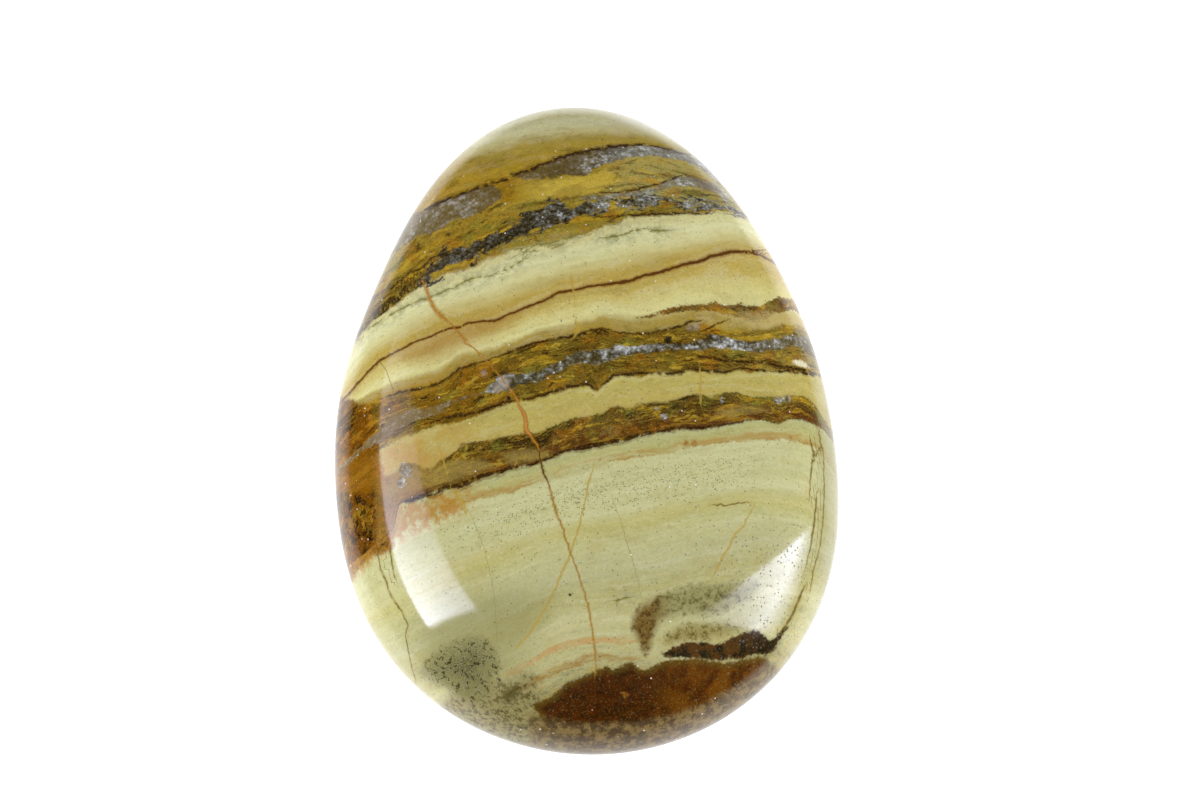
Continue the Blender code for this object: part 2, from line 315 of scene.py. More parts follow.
# Cracks of the pale bed and the rim, from pale and faint to brown, and wider yellow ones
FAINT_CRACKS = (
    ((1.2, -9.6, 0.03), (2, -11.7, 0.035), (2.7, -14, 0.04), (3.3, -16, 0.035), (3.9, -18.3, 0.03),
     (4.2, -20, 0.02)),
    ((-12.8, -11.5, 0.02), (-11.8, -14, 0.025), (-11.2, -16, 0.03), (-10.8, -18, 0.03),
     (-10.5, -20, 0.03), (-10.3, -24, 0.02)),
)
HAIRLINES = (
    ((21.0, -3.8, 0.05), (21.3, -5, 0.07), (21.2, -6.5, 0.09), (21.0, -8, 0.06), (20.9, -9.8, 0.03)),
    ((21.9, -3.0, 0.06), (22.1, -4.4, 0.06), (21.6, -5.3, 0.06), (21.25, -6.4, 0.06)),
    ((22.3, -4.5, 0.04), (22.4, -7, 0.05), (22.4, -9.5, 0.04), (22.3, -12, 0.05), (22.0, -14.5, 0.04),
     (21.3, -17, 0.05), (21.0, -19, 0.04)),
    ((21.7, -9, 0.05), (21.6, -10.5, 0.07), (21.4, -12, 0.09), (21.2, -13.3, 0.07),
     (21.0, -14.8, 0.05), (20.6, -16.3, 0.03)),
    ((20.5, -18.3, 0.06), (19.8, -20, 0.12), (19.2, -21.4, 0.12), (18.4, -22.6, 0.12)),
    ((-22.2, -15.3, 0.07), (-22.0, -16.5, 0.06), (-21.4, -18, 0.08), (-20.9, -19.3, 0.09),
     (-20.3, -20.3, 0.08), (-19.7, -21.2, 0.06), (-19.25, -22.3, 0.05), (-19.4, -23, 0.05),
     (-19.3, -24.3, 0.05), (-19.0, -25.8, 0.05), (-18.7, -27, 0.05), (-18.4, -28, 0.04)),
    ((-21, -14.5, 0.07), (-20.8, -16.3, 0.06), (-20.5, -17.6, 0.05)),
    ((-22, 4.0, 0.03), (-21.4, 3.2, 0.03), (-20.7, 1.2, 0.03)),
    # a squiggle on the pale bed
    ((11.4, -10.3, 0.03), (11.9, -10.35, 0.05), (12.1, -10.15, 0.08), (12.4, -10.4, 0.07),
     (12.9, -10.3, 0.03), (13.3, -10.25, 0.07), (13.8, -10.1, 0.06), (14.4, -10.05, 0.06)),
)
YELLOW_VEINS = (
    ((-0.6, -6.4, 0.05), (-1.0, -7.5, 0.09), (-1.3, -9, 0.10), (-1.6, -10.5, 0.09),
     (-1.95, -12, 0.09), (-2.4, -13.5, 0.10), (-2.9, -14.9, 0.10), (-3.3, -16, 0.12),
     (-3.9, -17.3, 0.12), (-4.4, -18.5, 0.11), (-4.9, -19.5, 0.09), (-5.5, -20.8, 0.11),
     (-6.3, -22, 0.10), (-7.2, -23.3, 0.10), (-8.2, -24.4, 0.07)),
    ((15.5, -10.2, 0.05), (14.8, -11.5, 0.07), (14.3, -12.5, 0.10), (13.5, -13.2, 0.12),
     (13, -14.3, 0.12), (12, -16, 0.10), (11.3, -17.5, 0.05)),
    ((-16.1, 9.0, 0.05), (-15.8, 7.8, 0.07), (-15.6, 7.0, 0.05)),
    ((-13.8, 7.7, 0.06), (-13.6, 6.9, 0.07), (-13.2, 6.2, 0.05)),
    ((-14.7, -8.8, 0.10), (-13.9, -10.2, 0.10), (-13.4, -11.2, 0.06)),
    ((-14.2, -8.9, 0.08), (-13.7, -9.9, 0.09), (-13.2, -11.0, 0.05)),
    ((-15.9, -5.0, 0.05), (-15.5, -6.3, 0.10), (-15.3, -7.3, 0.06)),
    ((-2.9, 12.4, 0.06), (-2.7, 11.3, 0.12), (-2.6, 10.5, 0.06)),
    ((-2.4, 8.2, 0.10), (-2.2, 7.2, 0.22), (-2.6, 6.6, 0.12)),
    ((10, 3.2, 0.10), (10.1, 2.2, 0.10), (10.0, 0.8, 0.12), (10.1, 0.0, 0.10)),
)

# Patches as outlines on the face, the dark ones of the blunt end first
BROWN_PATCH = (
    (-7, -30.3), (-6, -29.9), (-5, -29.6), (-4.3, -28.9), (-3.5, -28.1), (-2.5, -27.8),
    (-1, -27.1), (0, -26.6), (0.7, -26.4), (1.3, -26.75), (2, -26.5), (2.7, -26.0), (3.5, -26.1),
    (4.2, -26.75), (5, -26.7), (5.7, -26.2), (6.5, -25.9), (8, -25.8), (9.5, -25.8), (10.5, -25.8),
    (12, -26.1), (13.5, -26.0), (15, -25.6), (16, -25.4), (16.8, -25.9), (16.8, -26.6),
    (16, -28), (13.5, -31), (9, -34), (4, -36), (-2, -36), (-5, -33.5), (-6, -31.5),
)
# The duller run of the brown patch, next to the rim
RIM_STRIP = (
    (-7, -31.3), (-4, -31.9), (-1, -32.2), (3, -32.1), (7, -31.3), (10.5, -30.1), (14, -28.2),
    (17, -26.2), (21, -28), (10, -38), (-7, -38),
)
DARK_PATCH = (
    (6.0, -25.2), (7.5, -24.4), (9, -24.0), (10, -24.0), (12, -24.1), (13, -23.6), (14.5, -23.0),
    (15.5, -22.8), (16.5, -23.3), (17.1, -24), (17.6, -23.4), (18.3, -22.4), (18.8, -22.5),
    (18.2, -23.6), (17.4, -24.8), (16.6, -25.3), (15.6, -25.2), (14.2, -25.6), (12.5, -25.8),
    (11.5, -25.8), (10, -25.5), (8, -25.5), (6.8, -25.6),
)
HOOK_PATCH = (
    (3.2, -22.6), (3.3, -21.5), (4, -20.7), (5, -19.8), (6, -19.3), (7, -18.9), (8, -18.6),
    (10, -18.2), (12, -18.1), (14, -18.1), (15.4, -17.8), (16, -18.4), (14.5, -20), (12.5, -20.9),
    (10.5, -21.4), (8.5, -21.2), (7, -21.6), (6.0, -21.9), (5.6, -22.6), (5.2, -23.6),
    (4.9, -24.8), (4.4, -25.3), (4.1, -24.6), (3.7, -23.6),
)
MOSS_PATCH = (
    (-18.3, -27.2), (-16.9, -25.6), (-15.5, -24.4), (-14.2, -23.9), (-13, -23.5), (-12, -23.5),
    (-11, -24.0), (-10.3, -25.0), (-9.9, -26.4), (-10.6, -27.6), (-11.0, -29.2), (-12.4, -30.0),
    (-14, -29.6), (-15.5, -28.6), (-17, -28.0),
)
# Soft shades: olive round the moss, and tan beside the iron seam
OLIVE_SHADE = (
    (-18, -22.5), (-14, -19.5), (-9, -18.8), (-5, -19.6), (-6, -22.5), (-7.5, -25.5), (-9, -28),
    (-14, -28.5), (-17.5, -26),
)
TAN_SHADE = (
    (-20, 4.5), (-16, 7.0), (-11, 8.0), (-7.5, 9.3), (-10, 7.4), (-14, 5.4), (-18, 3.9),
)
# A dark blob, a cream spot, the rusty rim, and a tongue of mustard between granular layers
BLOB_PATCH = (
    (-9.8, -29.4), (-9.2, -28.6), (-8.4, -28.5), (-7.8, -28.9), (-8.3, -29.5), (-9.2, -30.0),
)
CREAM_SPOT = (
    (19.2, 4.1), (19.9, 4.3), (20.6, 3.9), (20.9, 3.4), (20.2, 3.5), (19.5, 3.8),
)
RIM_RUST = (
    (-29, 1.5), (-25.5, 0.3), (-22.9, -0.4), (-22.4, -3), (-22.0, -6), (-21.2, -9), (-20.6, -12),
    (-20.7, -14.6), (-22, -15.2), (-23.2, -15.6), (-24.3, -16.8), (-25, -18.3), (-29, -19),
)
MUSTARD_TONGUE = (
    (-10.7, 21.0), (-10.1, 21.9), (-8.5, 22.3), (-6, 22.2), (-4, 22.4), (-1.5, 22.5), (0.5, 23.3),
    (2.2, 22.2), (-0.5, 20.9), (-3.5, 20.5), (-6, 20.2), (-8.5, 20.0), (-10, 20.2),
)
# Small outlines inside the lower band
OLIVE_LENSES = (
    ((-9.7, -5.4), (-8.5, -4.9), (-7, -4.8), (-5.5, -4.9), (-4.7, -5.1), (-5.6, -5.6), (-7, -6.0),
     (-9, -6.2)),
    ((-20.9, -9.4), (-21.1, -7.4), (-19.4, -6.1), (-17.4, -6.8), (-16, -6.2), (-14, -5.7),
     (-11.5, -5.8), (-10.3, -6.4), (-12, -7.0), (-14, -7.7), (-16, -8.3), (-18.5, -8.7)),
    ((-0.2, -3.1), (0.5, -2.7), (1.4, -2.6), (1.9, -2.9), (1.5, -3.4), (0.6, -3.6)),
    ((11.5, -1.2), (12.5, -0.6), (14, -0.4), (16, -0.6), (16.8, -0.9), (15, -1.1), (13, -1.5)),
)
DARK_CLOTS = (
    ((-10.2, -3.7), (-8.5, -3.4), (-6.6, -3.5), (-5.6, -3.9), (-6.2, -4.6), (-8.5, -4.7),
     (-10, -4.9), (-11.3, -5.0)),
    ((-14.3, -4.9), (-13.8, -4.2), (-12.6, -4.0), (-11.6, -4.2), (-12.6, -4.6), (-13.4, -5.2)),
)
# Hazes round the dark patches of the blunt end
OLIVE_HAZE = (
    (6.2, -24.4), (6.6, -23.2), (8, -22.4), (10, -22.1), (12.5, -22.1), (14.5, -22.5),
    (13, -23.3), (11, -23.8), (8.5, -24.0),
)
FOOT_HAZE = (
    (-12.5, -27.0), (-10.6, -28.0), (-9, -27.9), (-7.4, -26.9), (-6.4, -27.2), (-6.2, -28.6),
    (-5.6, -30.2), (-7.2, -31.2), (-6.0, -33.4), (-8, -36), (-18, -33), (-16, -30.2),
)

# Single specks: (across, up, radius) in mm
BLACK_SPECKS = (
    (-3.0, -19.3, 0.17), (-10.05, -27.75, 0.2), (-11.7, -29.65, 0.14), (4.6, -22.0, 0.18),
    (-3.4, -13.7, 0.10), (-9.1, 0.35, 0.30), (-3.4, 18.25, 0.28), (6.8, 6.25, 0.4),
    (11.5, -8.7, 0.10), (-9.75, -30.8, 0.14), (-12.3, -29.0, 0.10), (-8.6, 6.3, 0.08),
    (-18, 15.6, 0.10), (2.2, 5.9, 0.12), (-4.2, 3.9, 0.10), (13.2, -3.1, 0.06),
)
PALE_SPOTS = (
    (-9.7, 1.9, 0.6), (-10.3, 1.3, 0.35), (9.6, 7.6, 0.28), (8.9, 7.45, 0.2), (-4.0, -28.5, 0.12),
    (-11.6, 2.9, 0.18),
)
GRAIN_SPOTS = (
    (5.6, -0.6, 0.35), (6.4, -1.5, 0.35), (17.8, 0.2, 0.4), (18.7, 0.35, 0.35), (-19.4, -6.8, 0.7),
    (-19.9, -8.0, 0.5), (12.2, 0.2, 0.25),
)
AMBER_SPOTS = (
    (8.6, -4.1, 0.3), (9.4, -4.05, 0.3), (19, -3.6, 0.2), (2.0, -8.75, 0.1), (2.5, -29.3, 0.3),
)

# The colours of the beds down the column: height in mm, colour, and how streaky the bed is.
# The column reaches as far from its middle as the outermost heights.
COLUMN_REACH = 31.0
BED_COLOURS = (
    (31.0, "#d2cea0", 0.12),
    (28.0, "#cdc892", 0.15),
    (27.2, "#c2b677", 0.2),
    (26.5, "#a8913a", 0.35),
    (25.3, "#a78a26", 0.5),
    (24.0, "#a58420", 0.65),
    (21.5, "#9c8630", 0.9),
    (19.0, "#8b741f", 1.0),
    (17.5, "#94802e", 0.8),
    (17.1, "#d3ca87", 0.15),
    (15.5, "#dcd99b", 0.08),
    (14.3, "#d3cb86", 0.08),
    (12.6, "#ba9f46", 0.12),
    (11.7, "#b99f47", 0.15),
    (10.8, "#c3ac56", 0.12),
    (9.8, "#d3c778", 0.08),
    (8.9, "#dbd38a", 0.1),
    (8.3, "#ad9544", 0.25),
    (7.55, "#9d8534", 0.4),
    (7.25, "#775c16", 1.0),
    (3.0, "#735a16", 1.0),
    (1.9, "#806820", 0.9),
    (1.6, "#bbad58", 0.15),
    (0.0, "#bcab57", 0.12),
)
LOW_BED_COLOURS = (
    (0.0, "#bcab57", 0.12),
    (-1.05, "#bba855", 0.15),
    (-1.3, "#63521c", 1.0),
    (-2.8, "#654a19", 1.0),
    (-4.15, "#5d3a14", 0.8),
    (-4.4, "#b6b678", 0.15),
    (-5.5, "#b8b26c", 0.15),
    (-7.0, "#c7c488", 0.08),
    (-9.0, "#c5c385", 0.08),
    (-11.0, "#c7c386", 0.08),
    (-12.5, "#bcb46a", 0.1),
    (-14.0, "#bfbb7c", 0.1),
    (-17.0, "#b8b57e", 0.1),
    (-19.5, "#b2ab6a", 0.12),
    (-22.0, "#c2bc80", 0.1),
    (-24.0, "#b6b175", 0.15),
    (-25.0, "#bcb67b", 0.2),
    (-27.0, "#a09860", 0.4),
    (-31.0, "#857a44", 0.8),
)

# The width of the granular layers' grains, and how far a line may wander, in mm
GRAIN_PITCH = 0.34
FURTHEST_SHIFT = 0.6

# The noises: name, the distance between the largest blobs in mm, detail, roughness and warp
STONE_NOISES = (
    ("fine", 0.30, 2.0, 0.6, 0.0),
    ("jag", 1.4, 4.0, 0.65, 0.0),
    ("bend", 0.7, 2.0, 0.6, 0.0),
    ("grain", 0.17, 2.0, 0.6, 0.0),
    ("blotch", 2.2, 4.0, 0.6, 0.0),
    ("murk", 0.9, 5.0, 0.68, 0.0),
    ("curd", 0.5, 4.0, 0.74, 0.3),
)
# Those that are drawn out along the beds have the scale of each part of the strata too
BED_NOISES = (
    ("streak", (0.22, 1.1, 0.22), 1.0, 5.0, 0.60, 0.3),
    ("thread", (0.11, 1.2, 0.11), 1.0, 3.0, 0.55, 0.2),
    ("clot", (0.5, 1.25, 0.5), 1.1, 5.0, 0.70, 0.3),
)

# The setting that holds a node's mode
MODE_SETTINGS = {
    "Math": "operation",
    "VectorMath": "operation",
    "MapRange": "interpolation_type",
    "Mix": "data_type",
}


def linear(hex_colour):
    """A linear RGBA colour from an sRGB hex value."""
    channels = [int(hex_colour[i : i + 2], 16) / 255 for i in (1, 3, 5)]
    curve = [c / 12.92 if c <= 0.04045 else ((c + 0.055) / 1.055) ** 2.4 for c in channels]
    return (*curve, 1.0)


def smooth_course(course, across):
    """A course's height over the face, and its slope: a cubic through its points, no overshoot."""
    x, y = np.array(course, float)[:, :2].T
    run = np.diff(x)
    pitch = np.diff(y) / run
    agree = pitch[1:] * pitch[:-1] > 0
    total = np.where(agree, pitch[1:] + pitch[:-1], 1)
    tangent = np.concatenate(
        ([pitch[0]], np.where(agree, 2 * pitch[1:] * pitch[:-1] / total, 0), [pitch[-1]])
    )
    span = np.clip(np.searchsorted(x, across) - 1, 0, len(run) - 1)
    t = np.clip((across - x[span]) / run[span], 0, 1)
    height = (
        (2 * t**3 - 3 * t**2 + 1) * y[span]
        + (3 * t**2 - 2 * t**3) * y[span + 1]
        + run[span] * ((t**3 - 2 * t**2 + t) * tangent[span] + (t**3 - t**2) * tangent[span + 1])
    )
    return height, pitch[span]


def above(course, across, up):
    """How far above a course each point lies, in mm square to it."""
    height, pitch = smooth_course(course, across)
    return (up - height) / np.hypot(1, pitch)


def inside_layer(layer, across, up):
    """How far inside a layer each point lies: its half thickness less the way to its middle."""
    places = np.array(layer, float)
    half = np.interp(across, places[:, 0], places[:, 2], left=-1, right=-1)
    return half - np.abs(above(layer, across, up))


def column_height(across, up):
    """Each point's height in the column: straight between the two courses it lies between."""
    heights = np.array([smooth_course(course, across)[0] for course, _ in COLUMN])
    levels = np.array([level for _, level in COLUMN])
    found = np.where(up > heights[0], levels[0] + up - heights[0], levels[-1] + up - heights[-1])
    for i in range(len(COLUMN) - 1):
        thick = np.maximum(heights[i] - heights[i + 1], 0.01)
        share = (up - heights[i + 1]) / thick
        level = levels[i + 1] + share * (levels[i] - levels[i + 1])
        found = np.where((up <= heights[i]) & (up > heights[i + 1]), level, found)
    return found


def to_line(line, across, up):
    """Signed way to the nearest stretch of a line, the unsigned way, and the half width there."""
    places = np.array(line, float)
    best = np.full(across.shape, 1e9)
    signed = np.full(across.shape, 1e9)
    width = np.zeros(across.shape)
    for (x0, y0, w0), (x1, y1, w1) in zip(places[:-1], places[1:]):
        dx, dy = x1 - x0, y1 - y0
        t = np.clip(((across - x0) * dx + (up - y0) * dy) / (dx * dx + dy * dy), 0, 1)
        away = np.hypot(across - x0 - t * dx, up - y0 - t * dy)
        nearer = away < best
        side = np.sign((up - y0) * dx - (across - x0) * dy)
        best = np.where(nearer, away, best)
        signed = np.where(nearer, side * away, signed)
        width = np.where(nearer, w0 + t * (w1 - w0), width)
    return signed, best, width


def to_lines(lines, across, up):
    """The same for the nearest of several lines."""
    found = [to_line(line, across, up) for line in lines]
    nearest = np.argmin([away for _, away, _ in found], axis=0)
    return [np.choose(nearest, part) for part in zip(*found)]


def inside_outline(outline, across, up):
    """How far inside a closed outline each point lies, in mm, and less than nothing outside."""
    corners = np.array(outline, float)
    best = np.full(across.shape, 1e9)
    crossings = np.zeros(across.shape, int)
    for (x0, y0), (x1, y1) in zip(corners, np.roll(corners, -1, axis=0)):
        dx, dy = x1 - x0, y1 - y0
        t = np.clip(((across - x0) * dx + (up - y0) * dy) / (dx * dx + dy * dy), 0, 1)
        best = np.minimum(best, np.hypot(across - x0 - t * dx, up - y0 - t * dy))
        if dy:
            crosses = ((y0 > up) != (y1 > up)) & (across < x0 + (up - y0) / dy * dx)
            crossings += crosses
    return np.where(crossings % 2 == 1, best, -best)


def skin_points(direction):
    """The stone's skin along unit directions, as an array of points.

    With t the angle from straight up, the height goes as cos t, and the distance from the
    upright axis is the outline's radius times (sin t) to the power 2 / fullness. The radius is
    a mean plus a cosine for each wave. The belly is level below the rest flat's depth.
    """
    x, y, rise = direction.T
    turn = np.arctan2(y, x)
    radius = MEAN_RADIUS + sum(
        swell * np.cos(lobes * (turn - math.radians(crest)))
        for lobes, swell, crest in OUTLINE_WAVES
    )
    fullness = FULLNESS + BLUNT_END_EXTRA * ((1 - np.sin(turn)) / 2) ** 2
    reach = radius * np.hypot(x, y) ** (2 / fullness)
    height = np.where(rise > 0, CROWN_HEIGHT, BELLY_DEPTH) * rise
    return np.stack(
        (
            reach * np.cos(turn) + CROWN_LEAN[0] * rise,
            reach * np.sin(turn) + CROWN_LEAN[1] * rise,
            np.maximum(height, REST_FLAT_DEPTH - BELLY_DEPTH),
        ),
        axis=1,
    )


def cube_grid():
    """Points of a cube's six gridded sides, welded at the edges, and their quads facing out."""
    counts = np.array((CELLS_ACROSS, CELLS_ACROSS, CELLS_UP))
    corners, quads, first = [], [], 0
    for axis in range(3):
        u_axis, v_axis = (axis + 1) % 3, (axis + 2) % 3
        u, v = np.meshgrid(
            np.arange(counts[u_axis] + 1), np.arange(counts[v_axis] + 1), indexing="ij"
        )
        for side in (0, 1):
            lattice = np.empty((u.size, 3), int)
            lattice[:, axis] = side * counts[axis]
            lattice[:, u_axis] = u.ravel()
            lattice[:, v_axis] = v.ravel()
            corners.append(lattice)
            cells = first + np.arange(u.size).reshape(u.shape)
            ring = (cells[:-1, :-1], cells[1:, :-1], cells[1:, 1:], cells[:-1, 1:])
            quads.append(np.stack(ring if side else ring[::-1], axis=-1).reshape(-1, 4))
            first += u.size
    lattice, welded = np.unique(np.concatenate(corners), axis=0, return_inverse=True)
    return lattice / counts * 2 - 1, welded.reshape(-1)[np.concatenate(quads)]


def sight_frame():
    """The camera's place, and the unit vectors to its right, up and forward."""
    back = np.array((0, -math.cos(SIGHT_ELEVATION), math.sin(SIGHT_ELEVATION)))
    right = np.array((1.0, 0.0, 0.0))
    return SIGHT_TARGET + back * SIGHT_DISTANCE, right, np.cross(back, right), -back


def face_places(points, normals):
    """Where each point lies on the face plane, across and up in mm, and how deep behind it.

    Points are thrown along their sight lines onto the plane. Behind the stone's outline the
    beds dip and the places drift, as the square of how far the skin has turned away, so that
    the back isn't the front's mirror image.
    """
    place, right, upward, forward = sight_frame()
    sight = points - place
    depth = sight @ forward
    across = sight @ right * SIGHT_DISTANCE / depth / MM
    up = sight @ upward * SIGHT_DISTANCE / depth / MM
    facing = -(normals * sight).sum(axis=1) / np.linalg.norm(sight, axis=1)
    hidden = np.maximum(-facing, 0) ** 2
    up = up + hidden * (DIP + DIP_WAVE * np.sin(across / DIP_SPAN + 0.6))
    across = across * (1 - NARROWING * hidden) + DRIFT * hidden
    return across, up, (depth - SIGHT_DISTANCE) / MM, hidden


def write_markings(mesh, points):
    """Stores each marking's distances on the skin's points, for the jasper to read."""
    normals = np.empty(len(points) * 3, np.float32)
    mesh.vertex_normals.foreach_get("vector", normals)
    across, up, depth, hidden = face_places(points, normals.reshape(-1, 3))

    def store(name, values):
        kind = "FLOAT_VECTOR" if isinstance(values, (tuple, list)) else "FLOAT"
        field = "value" if kind == "FLOAT" else "vector"
        numbers = np.array(values, np.float32).T.ravel()
        mesh.attributes.new(name, kind, "POINT").data.foreach_set(field, numbers)

    store("strata", (across, column_height(across, up), depth))
    store("face", (across, up, hidden))
    for name, layer in (
        ("upper_quartz", UPPER_QUARTZ),
        ("grain_layer", GRAIN_LAYER),
        ("black_seam", BLACK_SEAM),
        ("strip_layer", STRIP_LAYER),
        ("blue_quartz", BLUE_QUARTZ),
    ):
        store(name, inside_layer(layer, across, up))
    for name, lines in (
        ("iron_lines", IRON_LINES),
        ("main_vein", (MAIN_VEIN,)),
        ("olive_threads", OLIVE_THREADS),
        ("brown_edges", BROWN_EDGES),
        ("hairlines", HAIRLINES),
        ("faint_cracks", FAINT_CRACKS),
        ("yellow_veins", YELLOW_VEINS),
    ):
        store(name, to_lines(lines, across, up))
    # Behind the stone's outline the patches draw in, since each has an end in the stone
    drawn_in = DRAWING_IN * hidden + TOOTH * np.sqrt(hidden) * (1 + np.sin(across / TOOTH_SPAN))
    for name, outline in (
        ("brown_patch", BROWN_PATCH),
        ("rim_strip", RIM_STRIP),
        ("dark_patch", DARK_PATCH),
        ("hook_patch", HOOK_PATCH),
        ("moss_patch", MOSS_PATCH),
        ("rim_rust", RIM_RUST),
        ("mustard_tongue", MUSTARD_TONGUE),
        ("olive_haze", OLIVE_HAZE),
        ("foot_haze", FOOT_HAZE),
        ("olive_shade", OLIVE_SHADE),
        ("tan_shade", TAN_SHADE),
    ):
        store(name, inside_outline(outline, across, up) - drawn_in)
    # Small markings end sooner
    shrunk = VANISHING * hidden
    for name, outlines in (
        ("olive_lenses", OLIVE_LENSES),
        ("dark_clots", DARK_CLOTS),
        ("cream_spot", (CREAM_SPOT,)),
        ("blob_patch", (BLOB_PATCH,)),
    ):
        inside = [inside_outline(outline, across, up) for outline in outlines]
        store(name, np.max(inside, axis=0) - shrunk)
    for name, spots in (
        ("black_specks", BLACK_SPECKS),
        ("pale_spots", PALE_SPOTS),
        ("grain_spots", GRAIN_SPOTS),
        ("amber_spots", AMBER_SPOTS),
    ):
        inside = [radius - np.hypot(across - a, up - u) for a, u, radius in spots]
        store(name, np.max(inside, axis=0) - shrunk)


def make_skin():
    """The pebble's fine mesh: a cube's grid, evened by a tangent and thrown onto the skin."""
    grid, quads = cube_grid()
    direction = np.tan(grid * math.pi / 4)
    direction /= np.linalg.norm(direction, axis=1, keepdims=True)
    points = skin_points(direction)
    low, high = points.min(axis=0), points.max(axis=0)
    points -= ((low[0] + high[0]) / 2, (low[1] + high[1]) / 2, low[2])
    mesh = bpy.data.meshes.new("pebble_skin")
    mesh.vertices.add(len(points))
    mesh.vertices.foreach_set("co", points.astype(np.float32).ravel())
    mesh.loops.add(quads.size)
    mesh.loops.foreach_set("vertex_index", quads.ravel().astype(np.int32))
    mesh.polygons.add(len(quads))
    mesh.polygons.foreach_set("loop_start", np.arange(0, quads.size, 4, dtype=np.int32))
    mesh.update(calc_edges=True)
    mesh.shade_smooth()
    write_markings(mesh, points)
    skin = bpy.data.objects.new("pebble_skin", mesh)
    bpy.context.scene.collection.objects.link(skin)
    return skin


def add_node(tree, kind, *inputs, out=0, stops=(), **settings):
    """Adds a node, and gives one of its outputs.

    The kind is Blender's name without ShaderNode, and may hold the node's mode as a second
    word. Inputs are values or links in the order of the node's sockets, or one dictionary.
    """
    kind, _, mode = kind.partition(" ")
    made = tree.nodes.new("ShaderNode" + kind)
    if mode:
        settings[MODE_SETTINGS[kind]] = mode
    for name, value in settings.items():
        setattr(made, name, value)
    given = inputs[0] if inputs and isinstance(inputs[0], dict) else dict(enumerate(inputs))
    for socket, value in given.items():
        if isinstance(value, bpy.types.NodeSocket):
            tree.links.new(value, made.inputs[socket])
        else:
            made.inputs[socket].default_value = value
    if stops:
        elements = made.color_ramp.elements
        for _ in stops[2:]:
            elements.new(1.0)
        for element, (position, colour) in zip(elements, stops):
            element.position = position
            element.color = colour
    return None if out is None else made.outputs[out]


def ramp_stops(table, low, high):
    """A table's colours as the stops of a ramp from a low height to a high one."""
    return [
        ((height - low) / (high - low), linear(colour)[:3] + (streaky,))
        for height, colour, streaky in sorted(table)
    ]


def stored(node, name, part=None):
    """A marking's stored distance, or one part of a marking that is stored as three numbers."""
    if part is None:
        return node("Attribute", attribute_name=name, out="Fac")
    return node("SeparateXYZ", node("Attribute", attribute_name=name, out="Vector"), out=part)


def product(node, amount, *shares):
    """An amount times all of the shares."""
    for share in shares:
        amount = node("Math MULTIPLY", amount, share)
    return amount


def eased(node, value, low, high, *shares):
    """How far a value has come from a low mark to a high one, eased, times any shares."""
    return product(node, node("MapRange SMOOTHSTEP", value, low, high), *shares)


def between(node, value, low, full, late, high, *shares):
    """A share that comes in from low to full and goes out from late to high, times any shares."""
    return eased(node, value, low, full, eased(node, value, high, late), *shares)


def drift(node, pattern, reach):
    """A shift of up to about a reach in mm to either side, from a noise about a half."""
    return node("Math MULTIPLY_ADD", pattern, 4 * reach, -2 * reach)


def lay(node, ground, colour, *shares):
    """The ground colour with another laid over it, by shares that are multiplied together."""
    colour = linear(colour) if isinstance(colour, str) else colour
    return node("Mix RGBA", {0: product(node, *shares), 6: ground, 7: colour}, out=2)


def cover(node, name, rag=0.0, soft=0.05):
    """How far a stored marking covers a place, from the distance inside it and a ragged shift."""
    return eased(node, node("Math ADD", stored(node, name), rag), -soft, soft)


def line_cover(node, name, wander, widen=1.0, soft=0.06):
    """How far a stored line covers a place, with its path wandering by a shift in mm.

    The way to the moved path is the signed way to the line plus the shift. It is never less
    than the unsigned way less the furthest shift, so that the line ends where its points do.
    """
    moved = node("Math ABSOLUTE", node("Math ADD", stored(node, name, 0), wander))
    least = node("Math SUBTRACT", stored(node, name, 1), FURTHEST_SHIFT)
    away = node("Math MAXIMUM", moved, least)
    width = node("Math MULTIPLY", stored(node, name, 2), widen)
    return eased(node, node("Math SUBTRACT", width, away), -soft, soft)


def ridge(node, pattern, level, half):
    """Thin winding lines: where a noise is less than a half width away from a level."""
    away = node("Math ABSOLUTE", node("Math SUBTRACT", pattern, level))
    return eased(node, away, half, half * 0.25)


def specks(node, place, spacing, radius, share):
    """Scattered round specks: one in each cell of a spacing, in a share of the cells."""
    near = node("TexVoronoi", {"Vector": place, "Scale": 1 / spacing})
    pick = node("SeparateXYZ", near.node.outputs["Color"])
    chosen = node("Math LESS_THAN", pick, share)
    return eased(node, near, 1.3 * radius / spacing, 0.7 * radius / spacing, chosen)


def shared_patterns(node):
    """The places and noises that several steps of the jasper read, all in mm.

    A noise's scale is one over the distance between its largest blobs. The bent strata are
    the stone's places with the column's height for their second part, shifted by the ragged
    edge; stretched versions of them give patterns that are drawn out along the beds.
    """
    body = node("TexCoord", out="Object")
    place = node("VectorMath SCALE", {0: body, "Scale": 1000.0})
    noises = {}
    for name, pitch, detail, rough, warp in STONE_NOISES:
        settings = {"Vector": place, "Scale": 1 / pitch, "Detail": detail}
        noises[name] = node("TexNoise", settings | {"Roughness": rough, "Distortion": warp})
    ragged = drift(node, noises["jag"], 0.22)
    edge = node("Math ADD", ragged, drift(node, noises["fine"], 0.14))
    strata = node("Attribute", attribute_name="strata", out="Vector")
    bent = node("VectorMath ADD", strata, node("CombineXYZ", {1: edge}))
    waved = node("VectorMath ADD", strata, node("CombineXYZ", {1: ragged}))
    for name, stretch, pitch, detail, rough, warp in BED_NOISES:
        drawn_out = node("VectorMath MULTIPLY", waved, stretch)
        settings = {"Vector": drawn_out, "Scale": 1 / pitch, "Detail": detail}
        noises[name] = node("TexNoise", settings | {"Roughness": rough, "Distortion": warp})
    return SimpleNamespace(
        place=place,
        across=stored(node, "face", 0),
        up=stored(node, "face", 1),
        height=node("SeparateXYZ", bent, out=1),
        ragged=ragged,
        edge=edge,
        wander=drift(node, noises["bend"], 0.13),
        **noises,
    )


